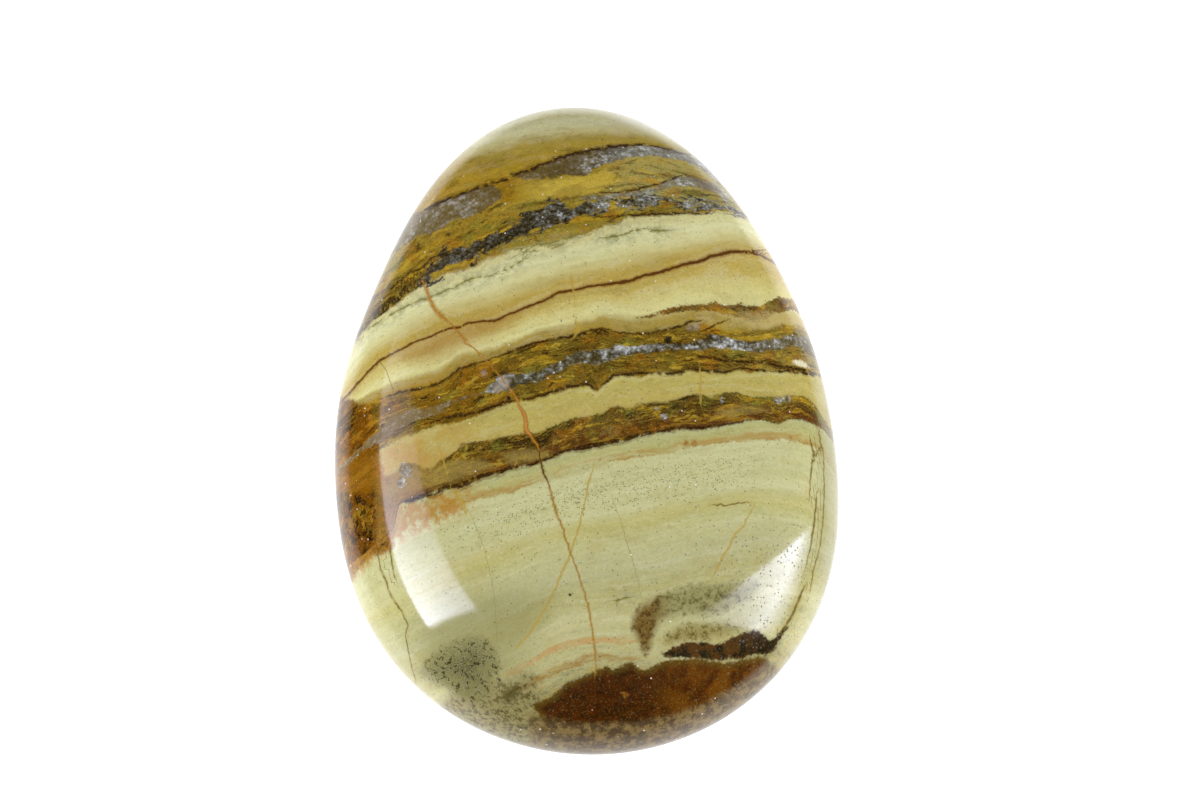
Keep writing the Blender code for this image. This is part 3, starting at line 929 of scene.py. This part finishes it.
def bed_colours(node, here):
    """The beds' colours by their height in the column, and how streaky each bed is."""
    up_share = node("Math DIVIDE", here.height, COLUMN_REACH)
    low_share = node("Math ADD", up_share, 1.0)
    upper = node("ValToRGB", up_share, stops=ramp_stops(BED_COLOURS, 0.0, COLUMN_REACH))
    lower = node("ValToRGB", low_share, stops=ramp_stops(LOW_BED_COLOURS, -COLUMN_REACH, 0.0))
    is_upper = node("Math GREATER_THAN", here.height, 0.0)
    streaky = node(
        "Mix FLOAT", {0: is_upper, 2: lower.node.outputs["Alpha"], 3: upper.node.outputs["Alpha"]}
    )
    return lay(node, lower, upper, is_upper), streaky


def mustard_tongue(node, here, ground, share):
    """The tongue of mustard between two granular layers, more golden towards its tip."""
    gold = lay(node, linear("#93700c"), "#c6aa40", eased(node, here.across, -10.0, -5.0))
    return lay(node, ground, gold, cover(node, "mustard_tongue", here.edge, 0.25), share)


def ochre_and_rust(node, here, ground, streaky):
    """Mustard, gold, olive and rust that stain the dark beds in places."""
    height, across = here.height, here.across
    ground = mustard_tongue(node, here, ground, 0.9)
    strip = cover(node, "strip_layer", here.edge, 0.12)
    ground = lay(node, ground, "#704c0d", strip, 0.9)
    streaky = node("Math MAXIMUM", streaky, node("Math MULTIPLY", strip, 0.9))
    ochre_bed = between(node, height, 18.3, 19.4, 25.0, 25.8)
    ground = lay(node, ground, "#b1a65c", eased(node, across, -1.0, 4.0), ochre_bed, 0.7)
    left = eased(node, across, -7.0, -14.0)
    ground = lay(node, ground, "#9a6f12", left, eased(node, across, -20.0, -15.5), streaky, 0.5)
    broad_band = between(node, height, 1.5, 2.0, 6.8, 7.4)
    ground = lay(node, ground, "#7c5606", left, broad_band, 0.55)
    ground = lay(node, ground, "#a58e40", eased(node, across, 11.0, 17.0), broad_band, 0.45)
    red_foot = between(node, height, -4.5, -4.1, -3.2, -2.2)
    ground = lay(node, ground, "#64300c", red_foot, eased(node, here.blotch, 0.40, 0.56), 0.8)
    ground = lay(node, ground, "#3d2408", cover(node, "dark_clots", here.edge, 0.15), 0.9)
    rust = cover(node, "rim_rust", here.edge, 0.35)
    ground = lay(node, ground, "#744300", rust, 0.9)
    return ground, node("Math MAXIMUM", streaky, node("Math MULTIPLY", rust, 0.75))


def streaks(node, here, ground, streaky):
    """Streaks along the dark beds: brown and gold, olive and orange clouds, threads and clots."""
    for colour, low, high, pattern, share in (
        ("#4a3708", 0.48, 0.36, here.streak, 0.7),
        ("#bd9620", 0.52, 0.64, here.streak, 0.7),
        ("#7f7f2a", 0.53, 0.66, here.blotch, 0.55),
        ("#a5640c", 0.46, 0.35, here.blotch, 0.45),
        ("#221605", 0.55, 0.63, here.clot, 0.78),
        ("#cdaa34", 0.45, 0.34, here.clot, 0.55),
    ):
        ground = lay(node, ground, colour, eased(node, pattern, low, high), streaky, share)
    fibrous = node("Math MULTIPLY_ADD", eased(node, here.height, 16.0, 8.0), 0.75, 0.2)
    for colour, pattern, level, half, share in (
        ("#2b1b06", here.thread, 0.44, 0.012, node("Math MULTIPLY", fibrous, 0.7)),
        ("#d3b33e", here.thread, 0.49, 0.008, node("Math MULTIPLY", fibrous, 0.4)),
        ("#33230a", here.clot, 0.47, 0.014, 0.6),
        ("#2f200a", here.murk, 0.56, 0.012, 0.45),
    ):
        ground = lay(node, ground, colour, ridge(node, pattern, level, half), streaky, share)
    return ground


def rusty_rim(node, here, ground):
    """The rust at the left rim: brown with black and amber clots, amber above and pitted below."""
    rust = cover(node, "rim_rust", here.edge, 0.35)
    amber_run = between(node, here.up, -9.6, -8.4, -6.5, -4.0)
    pitted_run = between(node, here.up, -15.2, -14.2, -9.6, -8.6)
    for colour, pattern, share in (
        ("#6e3f00", 1.0, 0.5),
        ("#2a1503", eased(node, here.clot, 0.50, 0.60), 0.75),
        ("#a96f10", eased(node, here.clot, 0.46, 0.36), 0.6),
        ("#9c680a", amber_run, 0.5),
        ("#180b02", eased(node, here.murk, 0.50, 0.58, pitted_run), 0.8),
    ):
        ground = lay(node, ground, colour, pattern, rust, share)
    return ground


def pale_beds(node, here, ground, streaky):
    """The pale beds' slow changes of hue, fine bedding and sand."""
    calm = eased(node, streaky, 0.9, 0.1)
    for colour, pattern, low, high, share in (
        ("#b58f45", here.blotch, 0.50, 0.72, 0.16),
        ("#c9cc9c", here.blotch, 0.48, 0.30, 0.14),
        ("#9c9250", here.thread, 0.53, 0.62, 0.16),
        ("#dcd9aa", here.thread, 0.47, 0.38, 0.14),
        ("#857d4a", here.fine, 0.54, 0.72, 0.18),
        ("#e9e6c0", here.fine, 0.46, 0.28, 0.14),
    ):
        ground = lay(node, ground, colour, eased(node, pattern, low, high), calm, share)
    return ground


def stains_and_rim_light(node, here, ground):
    """Tan and orange stain marks, grey and olive hazes by the beds, painted reflection and painted
    shade on rims.
    """
    height, across = here.height, here.across
    west = eased(node, across, 4.5, 3.0)
    patchy = eased(node, here.streak, 0.36, 0.60)
    murky = eased(node, here.murk, 0.36, 0.58)
    blotchy = eased(node, here.blotch, 0.30, 0.60)
    clear_of_rim = eased(node, across, -22.9, -21.9)
    for colour, level, half, share in (
        ("#a9863c", -6.0, 0.55, 0.75),
        ("#a17c36", -6.35, 0.18, 0.7),
        ("#bd9050", -23.8, 0.5, node("Math MULTIPLY", west, 0.8)),
        ("#94702a", -25.5, 0.6, node("Math MULTIPLY", west, 0.85)),
    ):
        away = node("Math ABSOLUTE", node("Math SUBTRACT", height, level))
        ground = lay(node, ground, colour, eased(node, away, half, half * 0.2), patchy, share)
    for colour, sideways, heights, pattern, share in (
        ("#ad7c2a", (-11.0, -15.0), (-8.2, -6.8, -4.8, -4.2), murky, 0.85),
        ("#b8873f", (-10.0, -18.0), (-1.3, -0.9, 1.3, 1.7), product(node, clear_of_rim, blotchy), 0.6),
        ("#a37c36", (-15.5, -19.5), (-4.4, -3.9, -1.4, -0.9), clear_of_rim, 0.55),
        ("#a88426", (-12.0, -17.0), (6.3, 7.0, 7.5, 8.6), product(node, clear_of_rim, patchy), 0.8),
        ("#c4b06c", (11.0, 17.0), (7.5, 7.8, 8.3, 8.7), 1.0, 0.6),
    ):
        stain = between(node, height, *heights, eased(node, across, *sideways))
        ground = lay(node, ground, colour, stain, pattern, share)
    ground = lay(node, ground, "#8f8a52", cover(node, "olive_shade", here.ragged, 2.2), 0.6)
    ground = lay(node, ground, "#a07434", cover(node, "tan_shade", here.ragged, 1.2), 0.6)
    smoke = eased(node, here.curd, 0.46, 0.60)
    near_threads = line_cover(node, "olive_threads", 0.0, 12.0, 0.8)
    smudge = eased(node, here.murk, 0.42, 0.62)
    ground = lay(node, ground, "#9a9970", near_threads, smudge, 0.6)
    foot = lay(node, linear("#8d8350"), "#443a18", smoke)
    ground = lay(node, ground, foot, cover(node, "foot_haze", here.ragged, 0.9), 0.85)
    # A whitish veil on the rim at the right of the narrow end: painted reflection
    painted_tip_reflection = eased(node, across, -1.0, 5.0, eased(node, height, 26.8, 28.5))
    ground = lay(node, ground, "#dcd8be", painted_tip_reflection, 0.7)
    # Darker towards the right rim: painted shade
    return lay(node, ground, "#8a8458", eased(node, across, 20.8, 23.5), 0.6)


def granular_quartz(node, here):
    """Rounded grains about a third of a millimetre across, from near black to blue grey and white.

    The light in a grain is a share of its chance shade, plus shares of the murk and the
    blotches, which change slowly from dark to pale, less a fixed amount and a share of the
    distance from its middle. That last share is painted shade, which darkens each grain towards
    its edge so that it looks rounded.
    """
    grains = node("TexVoronoi", {"Vector": here.place, "Scale": 1 / GRAIN_PITCH})
    chance = node("SeparateXYZ", grains.node.outputs["Color"])
    # Darker with the distance from a grain's middle: painted shade that rounds each grain
    lit = node("Math MULTIPLY_ADD", grains, -0.34, -0.56)
    lit = node("Math MULTIPLY_ADD", chance, 0.20, lit)
    lit = node("Math MULTIPLY_ADD", here.murk, 1.40, lit)
    lit = node("Math MULTIPLY_ADD", here.blotch, 1.20, lit)
    return node(
        "ValToRGB",
        lit,
        stops=(
            (0.40, linear("#221c0d")),
            (0.53, linear("#484334")),
            (0.64, linear("#6c6a58")),
            (0.75, linear("#8b8c80")),
            (0.86, linear("#b0b2a8")),
            (0.97, linear("#e6e7df")),
        ),
    )


def quartz_layers(node, here, ground):
    """The granular layers, browned where iron has stained them, and how far they cover."""
    quartz = granular_quartz(node, here)
    quartz = lay(node, quartz, "#1e180a", eased(node, here.clot, 0.52, 0.62), 0.75)
    browner = eased(node, here.across, 2.0, -4.0, 0.55)
    brown_quartz = lay(node, quartz, "#6f5c2e", node("Math ADD", browner, 0.12))
    middle = between(node, here.across, -6.3, -4.5, -2.5, -0.7)
    brown_quartz = lay(node, brown_quartz, "#3a3018", middle, 0.35)
    brown_quartz = lay(node, brown_quartz, "#b5b4a6", eased(node, here.across, -0.5, 3.0), 0.25)
    black_end = node("Math MULTIPLY_ADD", eased(node, here.across, -2.0, -9.0), 0.50, 0.28)
    dark_quartz = lay(node, quartz, "#1a1508", black_end)
    stained = eased(node, here.across, 8.0, -3.0, 0.35)
    blue_quartz = lay(node, quartz, "#4b4526", node("Math ADD", stained, 0.12))
    blue_quartz = lay(node, blue_quartz, "#8f7234", eased(node, here.across, -12.0, -17.0, 0.6))
    blue_quartz = lay(node, blue_quartz, "#6d5f38", eased(node, here.across, 14.0, 19.0, 0.4))
    islands = drift(node, here.clot, 1.15)
    covered = 0.0
    for name, colour, rag, share in (
        ("upper_quartz", brown_quartz, here.edge, 0.92),
        ("grain_layer", brown_quartz, here.edge, 0.75),
        ("black_seam", dark_quartz, islands, 0.93),
        ("blue_quartz", blue_quartz, here.edge, 0.92),
        ("grain_spots", quartz, here.edge, 0.6),
    ):
        inside = cover(node, name, rag, 0.12)
        ground = lay(node, ground, colour, inside, share)
        covered = node("Math MAXIMUM", inside, covered)
    return ground, covered


def dissolving_patch(node, here, ground, name, haze, dark, reach, share):
    """A patch that thins out into specks: a haze, under dark curds that shrink near its edge."""
    inside = node("Math ADD", stored(node, name), here.ragged)
    ground = lay(node, ground, haze, eased(node, inside, -0.5, 0.6), share)
    deep = node("Math MULTIPLY", node("Math MINIMUM", inside, reach), 0.18 / reach)
    curd = node("Math ADD", here.curd, deep)
    near = eased(node, inside, -0.7, 0.2)
    ground = lay(node, ground, dark, eased(node, curd, 0.50, 0.64), near, 0.75)
    return lay(node, ground, "#26210c", eased(node, curd, 0.64, 0.74), near, 0.7)


def patches(node, here, ground):
    """The dark patches at the blunt end, and the cream spot at the right."""
    across, murk = here.across, here.murk
    ground = dissolving_patch(node, here, ground, "moss_patch", "#7b7542", "#463f12", 2.5, 0.78)
    curls = ridge(node, here.curd, 0.51, 0.03)
    ground = lay(node, ground, "#b2ae80", curls, cover(node, "moss_patch", here.ragged, 0.8), 0.6)
    ground = dissolving_patch(node, here, ground, "olive_haze", "#8e8040", "#6b5a24", 2.5, 0.75)
    brown_end = eased(node, across, 7.5, 5.0)
    haze = lay(node, linear("#938d56"), "#6e5114", brown_end)
    dark = lay(node, linear("#6a6230"), "#452a0a", brown_end)
    ground = dissolving_patch(node, here, ground, "hook_patch", haze, dark, 3.2, 0.9)
    dark = lay(node, linear("#4c2d0a"), "#140c05", eased(node, murk, 0.52, 0.38))
    dark = lay(node, dark, "#140c05", eased(node, across, 12.5, 16.5), 0.6)
    ground = lay(node, ground, dark, cover(node, "dark_patch", here.edge, 0.15), 0.97)
    brown = lay(node, linear("#471c00"), "#2c0f00", eased(node, murk, 0.62, 0.36))
    amber = eased(node, here.blotch, 0.34, 0.58, eased(node, across, 4.0, 9.0))
    brown = lay(node, brown, "#744304", amber, 0.65)
    inside = node("Math ADD", stored(node, "brown_patch"), here.edge)
    brown = lay(node, brown, "#5d4712", eased(node, inside, 0.9, 0.1), 0.7)
    ground = lay(node, ground, brown, eased(node, inside, -0.18, 0.18), 0.97)
    under_rim = lay(node, linear("#806a3a"), "#4e3b1c", eased(node, murk, 0.58, 0.44))
    ground = lay(node, ground, under_rim, cover(node, "rim_strip", here.ragged, 0.5), 0.88)
    ground = lay(node, ground, "#4c441a", cover(node, "blob_patch", here.edge, 0.4), 0.85)
    ragged_spot = drift(node, here.fine, 0.14)
    for name, colour, soft, share in (
        ("cream_spot", "#e5ddb0", 0.12, 0.9),
        ("pale_spots", "#aca08a", 0.35, 0.7),
        ("amber_spots", "#96601a", 0.2, 0.75),
        ("black_specks", "#1c150b", 0.08, 0.93),
    ):
        ground = lay(node, ground, colour, cover(node, name, ragged_spot, soft), share)
    return ground


def lines(node, here, ground):
    """Threads beside the beds, the iron seam, and cracks that iron has healed."""
    broken = eased(node, here.murk, 0.34, 0.52)
    slight = node("Math MULTIPLY", here.wander, 0.65)
    up = here.up
    vein = lay(node, linear("#b0741c"), "#a07a1e", eased(node, up, -4.0, -8.0), 0.8)
    vein = lay(node, vein, "#d9c79c", eased(node, here.murk, 0.56, 0.64), 0.6)
    black_run = between(node, up, -8.8, -7.6, -5.2, -4.4)
    vein = lay(node, vein, "#2b1504", black_run, 0.95)
    core = between(node, up, -3.9, -3.0, -0.4, 0.6)
    for name, colour, wander, widen, share in (
        ("brown_edges", "#5a3a10", here.wander, 2.2, node("Math MULTIPLY", broken, 0.45)),
        ("brown_edges", "#2e1a06", here.wander, 1.0, node("Math MULTIPLY", broken, 0.9)),
        ("olive_threads", "#8f8840", here.wander, 3.0, node("Math MULTIPLY", broken, 0.35)),
        ("olive_threads", "#6f661e", here.wander, 1.0, node("Math MULTIPLY", broken, 0.8)),
        ("iron_lines", "#8c5a20", slight, 2.4, 0.45),
        ("iron_lines", "#55300a", slight, 1.2, 0.95),
        ("yellow_veins", "#b3953a", slight, 1.1, 0.7),
        ("hairlines", "#a88a3c", slight, 2.2, 0.3),
        ("hairlines", "#55450f", slight, 1.0, node("Math MULTIPLY_ADD", broken, 0.5, 0.3)),
        ("faint_cracks", "#858048", slight, 1.0, 0.65),
        ("main_vein", "#8f6420", here.wander, 1.5, 0.4),
        ("main_vein", vein, here.wander, 0.66, 0.9),
        ("main_vein", "#8a3f0a", here.wander, 1.15, node("Math MULTIPLY", core, 0.55)),
        ("main_vein", "#c98a3c", here.wander, 0.6, node("Math MULTIPLY", core, 0.8)),
    ):
        ground = lay(node, ground, colour, line_cover(node, name, wander, widen), share)
    return ground


def grains_and_pits(node, here, ground, streaky, covered):
    """Grain, pepper, painted glints and open pits, and how rough they leave the polish; the pits' dark
    colour is painted shade.
    """
    height, across = here.height, here.across
    gritty = node("Math MULTIPLY_ADD", streaky, 0.30, 0.09)
    ground = lay(node, ground, "#2a1d04", eased(node, here.grain, 0.48, 0.28), gritty)
    ground = lay(node, ground, "#dcc56a", eased(node, here.grain, 0.54, 0.75), gritty, 0.5)
    middle = between(node, across, -17.0, -7.0, 9.0, 19.0)
    bed = between(node, height, -12.0, -9.5, -8.8, -6.6, middle, eased(node, here.murk, 0.36, 0.56))
    pepper_share = node("Math MULTIPLY_ADD", bed, 0.85, 0.04)
    ground = lay(node, ground, "#4a4628", specks(node, here.place, 0.20, 0.062, pepper_share), 0.7)
    # White specks in the streaky beds: painted glints
    painted_glint_share = node("Math MULTIPLY", streaky, 0.12)
    ground = lay(node, ground, "#f0ead8", specks(node, here.place, 0.62, 0.08, painted_glint_share), 0.9)
    # Open pits, most of them low at the right, roughen the polish; their dark colour is painted shade
    pitted = eased(node, across, 9.0, 15.0, eased(node, here.up, -10.0, -15.0))
    pit_share = node("Math MULTIPLY_ADD", pitted, 0.45, 0.02)
    pits = specks(node, here.place, 0.34, 0.08, pit_share)
    ground = lay(node, ground, "#5f5a3a", pits, 0.8)
    roughness = node("Math MULTIPLY_ADD", pits, 0.7, 0.09)
    return ground, node("Math MULTIPLY_ADD", covered, 0.05, roughness)


def polished_jasper():
    """Banded jasper, ground smooth and polished with fine oxide until it reflects like glass.

    An opaque ground with all its pattern in the colour, under a sharp reflection at the index
    of quartz, so the eye sees the lights crisp in it. The granular layers hold pits that the
    polish has not filled, and those break the lights up into glints.
    """
    material = bpy.data.materials.new("polished_jasper")
    material.use_nodes = True
    tree = material.node_tree
    tree.nodes.clear()
    node = partial(add_node, tree)
    here = shared_patterns(node)
    ground, streaky = bed_colours(node, here)
    ground, streaky = ochre_and_rust(node, here, ground, streaky)
    ground = streaks(node, here, ground, streaky)
    ground = mustard_tongue(node, here, ground, 0.5)
    ground = rusty_rim(node, here, ground)
    ground = lay(node, ground, "#937f3e", cover(node, "olive_lenses", here.edge, 0.4), 0.68)
    ground = pale_beds(node, here, ground, streaky)
    ground = stains_and_rim_light(node, here, ground)
    ground, covered = quartz_layers(node, here, ground)
    ground = patches(node, here, ground)
    ground = lines(node, here, ground)
    ground, roughness = grains_and_pits(node, here, ground, streaky, covered)

    # The polish dips a little at the grains, and more in the granular layers
    depth = node("Math MULTIPLY_ADD", covered, 0.02, 0.0012)
    depth = node("Math MULTIPLY", here.grain, depth)
    bump = node("Bump", {"Height": depth, "Distance": MM, "Strength": 1.0})
    shader = node(
        "BsdfPrincipled",
        {"Base Color": ground, "Roughness": roughness, "IOR": 1.54, "Normal": bump},
    )
    node("OutputMaterial", {"Surface": shader}, out=None)
    return material


def cloth_point(azimuth, elevation):
    """The place of a cloth's corner, by its azimuth from +X and its elevation in degrees."""
    turn, rise = math.radians(azimuth), math.radians(elevation)
    way = (math.cos(rise) * math.cos(turn), math.cos(rise) * math.sin(turn), math.sin(rise))
    return CLOTH_DISTANCE * np.array(way) + (0, 0, CLOTH_PIVOT)


def glowing_sheet(name, points, faces, glow, tint, **seen_by):
    """A stage mesh that shines by itself, as strongly at each point as its glow says."""
    mesh = bpy.data.meshes.new(name)
    mesh.from_pydata(points.tolist(), [], faces.tolist())
    mesh.attributes.new("glow", "FLOAT", "POINT").data.foreach_set("value", glow.astype(np.float32))
    material = bpy.data.materials.new(name)
    material.use_nodes = True
    tree = material.node_tree
    tree.nodes.clear()
    strength = add_node(tree, "Attribute", attribute_name="glow", out="Fac")
    shine = add_node(tree, "Emission", (*tint, 1.0), strength)
    add_node(tree, "OutputMaterial", {"Surface": shine}, out=None)
    mesh.materials.append(material)
    sheet = bpy.data.objects.new(name, mesh)
    bpy.context.scene.collection.objects.link(sheet)
    for ray, seen in seen_by.items():
        setattr(sheet, "visible_" + ray, seen)


def grid_faces(shape):
    """The quads of a grid of points."""
    index = np.arange(shape[0] * shape[1]).reshape(shape)
    ring = (index[:-1, :-1], index[1:, :-1], index[1:, 1:], index[:-1, 1:])
    return np.stack(ring, axis=-1).reshape(-1, 4)


def make_soft_box(name, corners, strengths, hem):
    """A soft box's cloth: a grid between four corners, with its glow spread from one to another.

    Between the corners, the places and the cube root of the glow are mixed by the shares
    across and along the grid. Over the hem's share of the cloth, at the side of the first and
    last corners, the glow rises from the hem's as the square of the share that is passed.
    """
    steps = np.linspace(0, 1, CLOTH_CELLS + 1)
    u, v = np.meshgrid(steps, steps, indexing="ij")
    shares = np.stack(((1 - u) * (1 - v), u * (1 - v), u * v, (1 - u) * v), axis=-1).reshape(-1, 4)
    points = shares @ np.array([cloth_point(*corner) for corner in corners])
    glow = (shares @ np.cbrt(strengths)) ** 3
    if hem:
        glow *= HEM_GLOW + (1 - HEM_GLOW) * np.clip(u.ravel() / hem, 0, 1) ** 2
    glowing_sheet(name, points, grid_faces(u.shape), glow, FLASH_TINT, camera=False)


def make_paper():
    """White paper, lit from beneath until it is white all over, which the stone doesn't mirror.

    Its matt fibres give no reflection of their own, so it has no gloss.
    """
    material = bpy.data.materials.new("white_paper")
    material.use_nodes = True
    shader = material.node_tree.nodes["Principled BSDF"]
    shader.inputs["Base Color"].default_value = (PAPER_SHADE, PAPER_SHADE, PAPER_SHADE, 1.0)
    shader.inputs["Roughness"].default_value = 0.9
    shader.inputs["Specular IOR Level"].default_value = 0.0
    shader.inputs["Emission Color"].default_value = (1.0, 1.0, 1.0, 1.0)
    shader.inputs["Emission Strength"].default_value = PAPER_GLOW
    mesh = bpy.data.meshes.new("paper")
    sides = ((-1, -1), (1, -1), (1, 1), (-1, 1))
    corners = [(x * PAPER_REACH, y * PAPER_REACH, 0.0) for x, y in sides]
    mesh.from_pydata(corners, [], [(0, 1, 2, 3)])
    mesh.materials.append(material)
    paper = bpy.data.objects.new("paper", mesh)
    bpy.context.scene.collection.objects.link(paper)
    paper.visible_glossy = False


def make_mirrored_paper():
    """What the stone mirrors of the paper: brightest near it, dim in front, and dark elsewhere.

    The glow is a product of three ramps. Two fall to nothing at the half width to each side
    and at the back. The third falls from full to dim at the front.
    """
    half_width, side_fade = 0.070, 0.025
    back, front, end_fade = 0.085, -0.075, 0.030
    dim, full = 0.22, 1.25
    x, y = np.meshgrid(np.linspace(-0.1, 0.1, 41), np.linspace(-0.9, 0.12, 205), indexing="ij")
    aside = np.clip((half_width - np.abs(x)) / side_fade, 0, 1)
    behind = np.clip((back - y) / end_fade, 0, 1)
    near = np.clip((y - front) / end_fade, 0, 1)
    glow = aside * behind * (dim + (full - dim) * near)
    points = np.stack((x, y, np.zeros_like(x)), axis=-1).reshape(-1, 3)
    unseen = {"camera": False, "diffuse": False, "shadow": False, "transmission": False}
    glowing_sheet("mirrored_paper", points, grid_faces(x.shape), glow.ravel(), (1, 1, 1), **unseen)


def make_studio():
    """The paper, what the stone mirrors of it, two soft boxes, and a room it doesn't mirror."""
    make_paper()
    make_mirrored_paper()
    for name, (corners, strengths, hem) in SOFT_BOXES.items():
        make_soft_box(name, corners, strengths, hem)
    world = bpy.data.worlds.new("room")
    world.use_nodes = True
    background = world.node_tree.nodes["Background"]
    background.inputs["Color"].default_value = (1.0, 1.0, 1.0, 1.0)
    background.inputs["Strength"].default_value = ROOM_GLOW
    world.cycles_visibility.glossy = False
    bpy.context.scene.world = world
    bpy.context.scene.view_settings.view_transform = "Standard"


def make_camera():
    """The camera on the line of sight, aimed at the face's middle."""
    place, _, _, forward = sight_frame()
    camera = bpy.data.objects.new("camera", bpy.data.cameras.new("camera"))
    camera.data.lens = LENS
    camera.data.sensor_width = SENSOR
    camera.data.clip_start = 0.01
    camera.location = place
    camera.rotation_euler = Vector(forward).to_track_quat("-Z", "Y").to_euler()
    bpy.context.scene.collection.objects.link(camera)
    bpy.context.scene.camera = camera


# The pebble stands for the whole part, and the studio round it is staging
make_camera()
pebble = make_skin()
pebble.data.materials.append(polished_jasper())
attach(pebble, "root")
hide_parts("pebble")
make_studio()
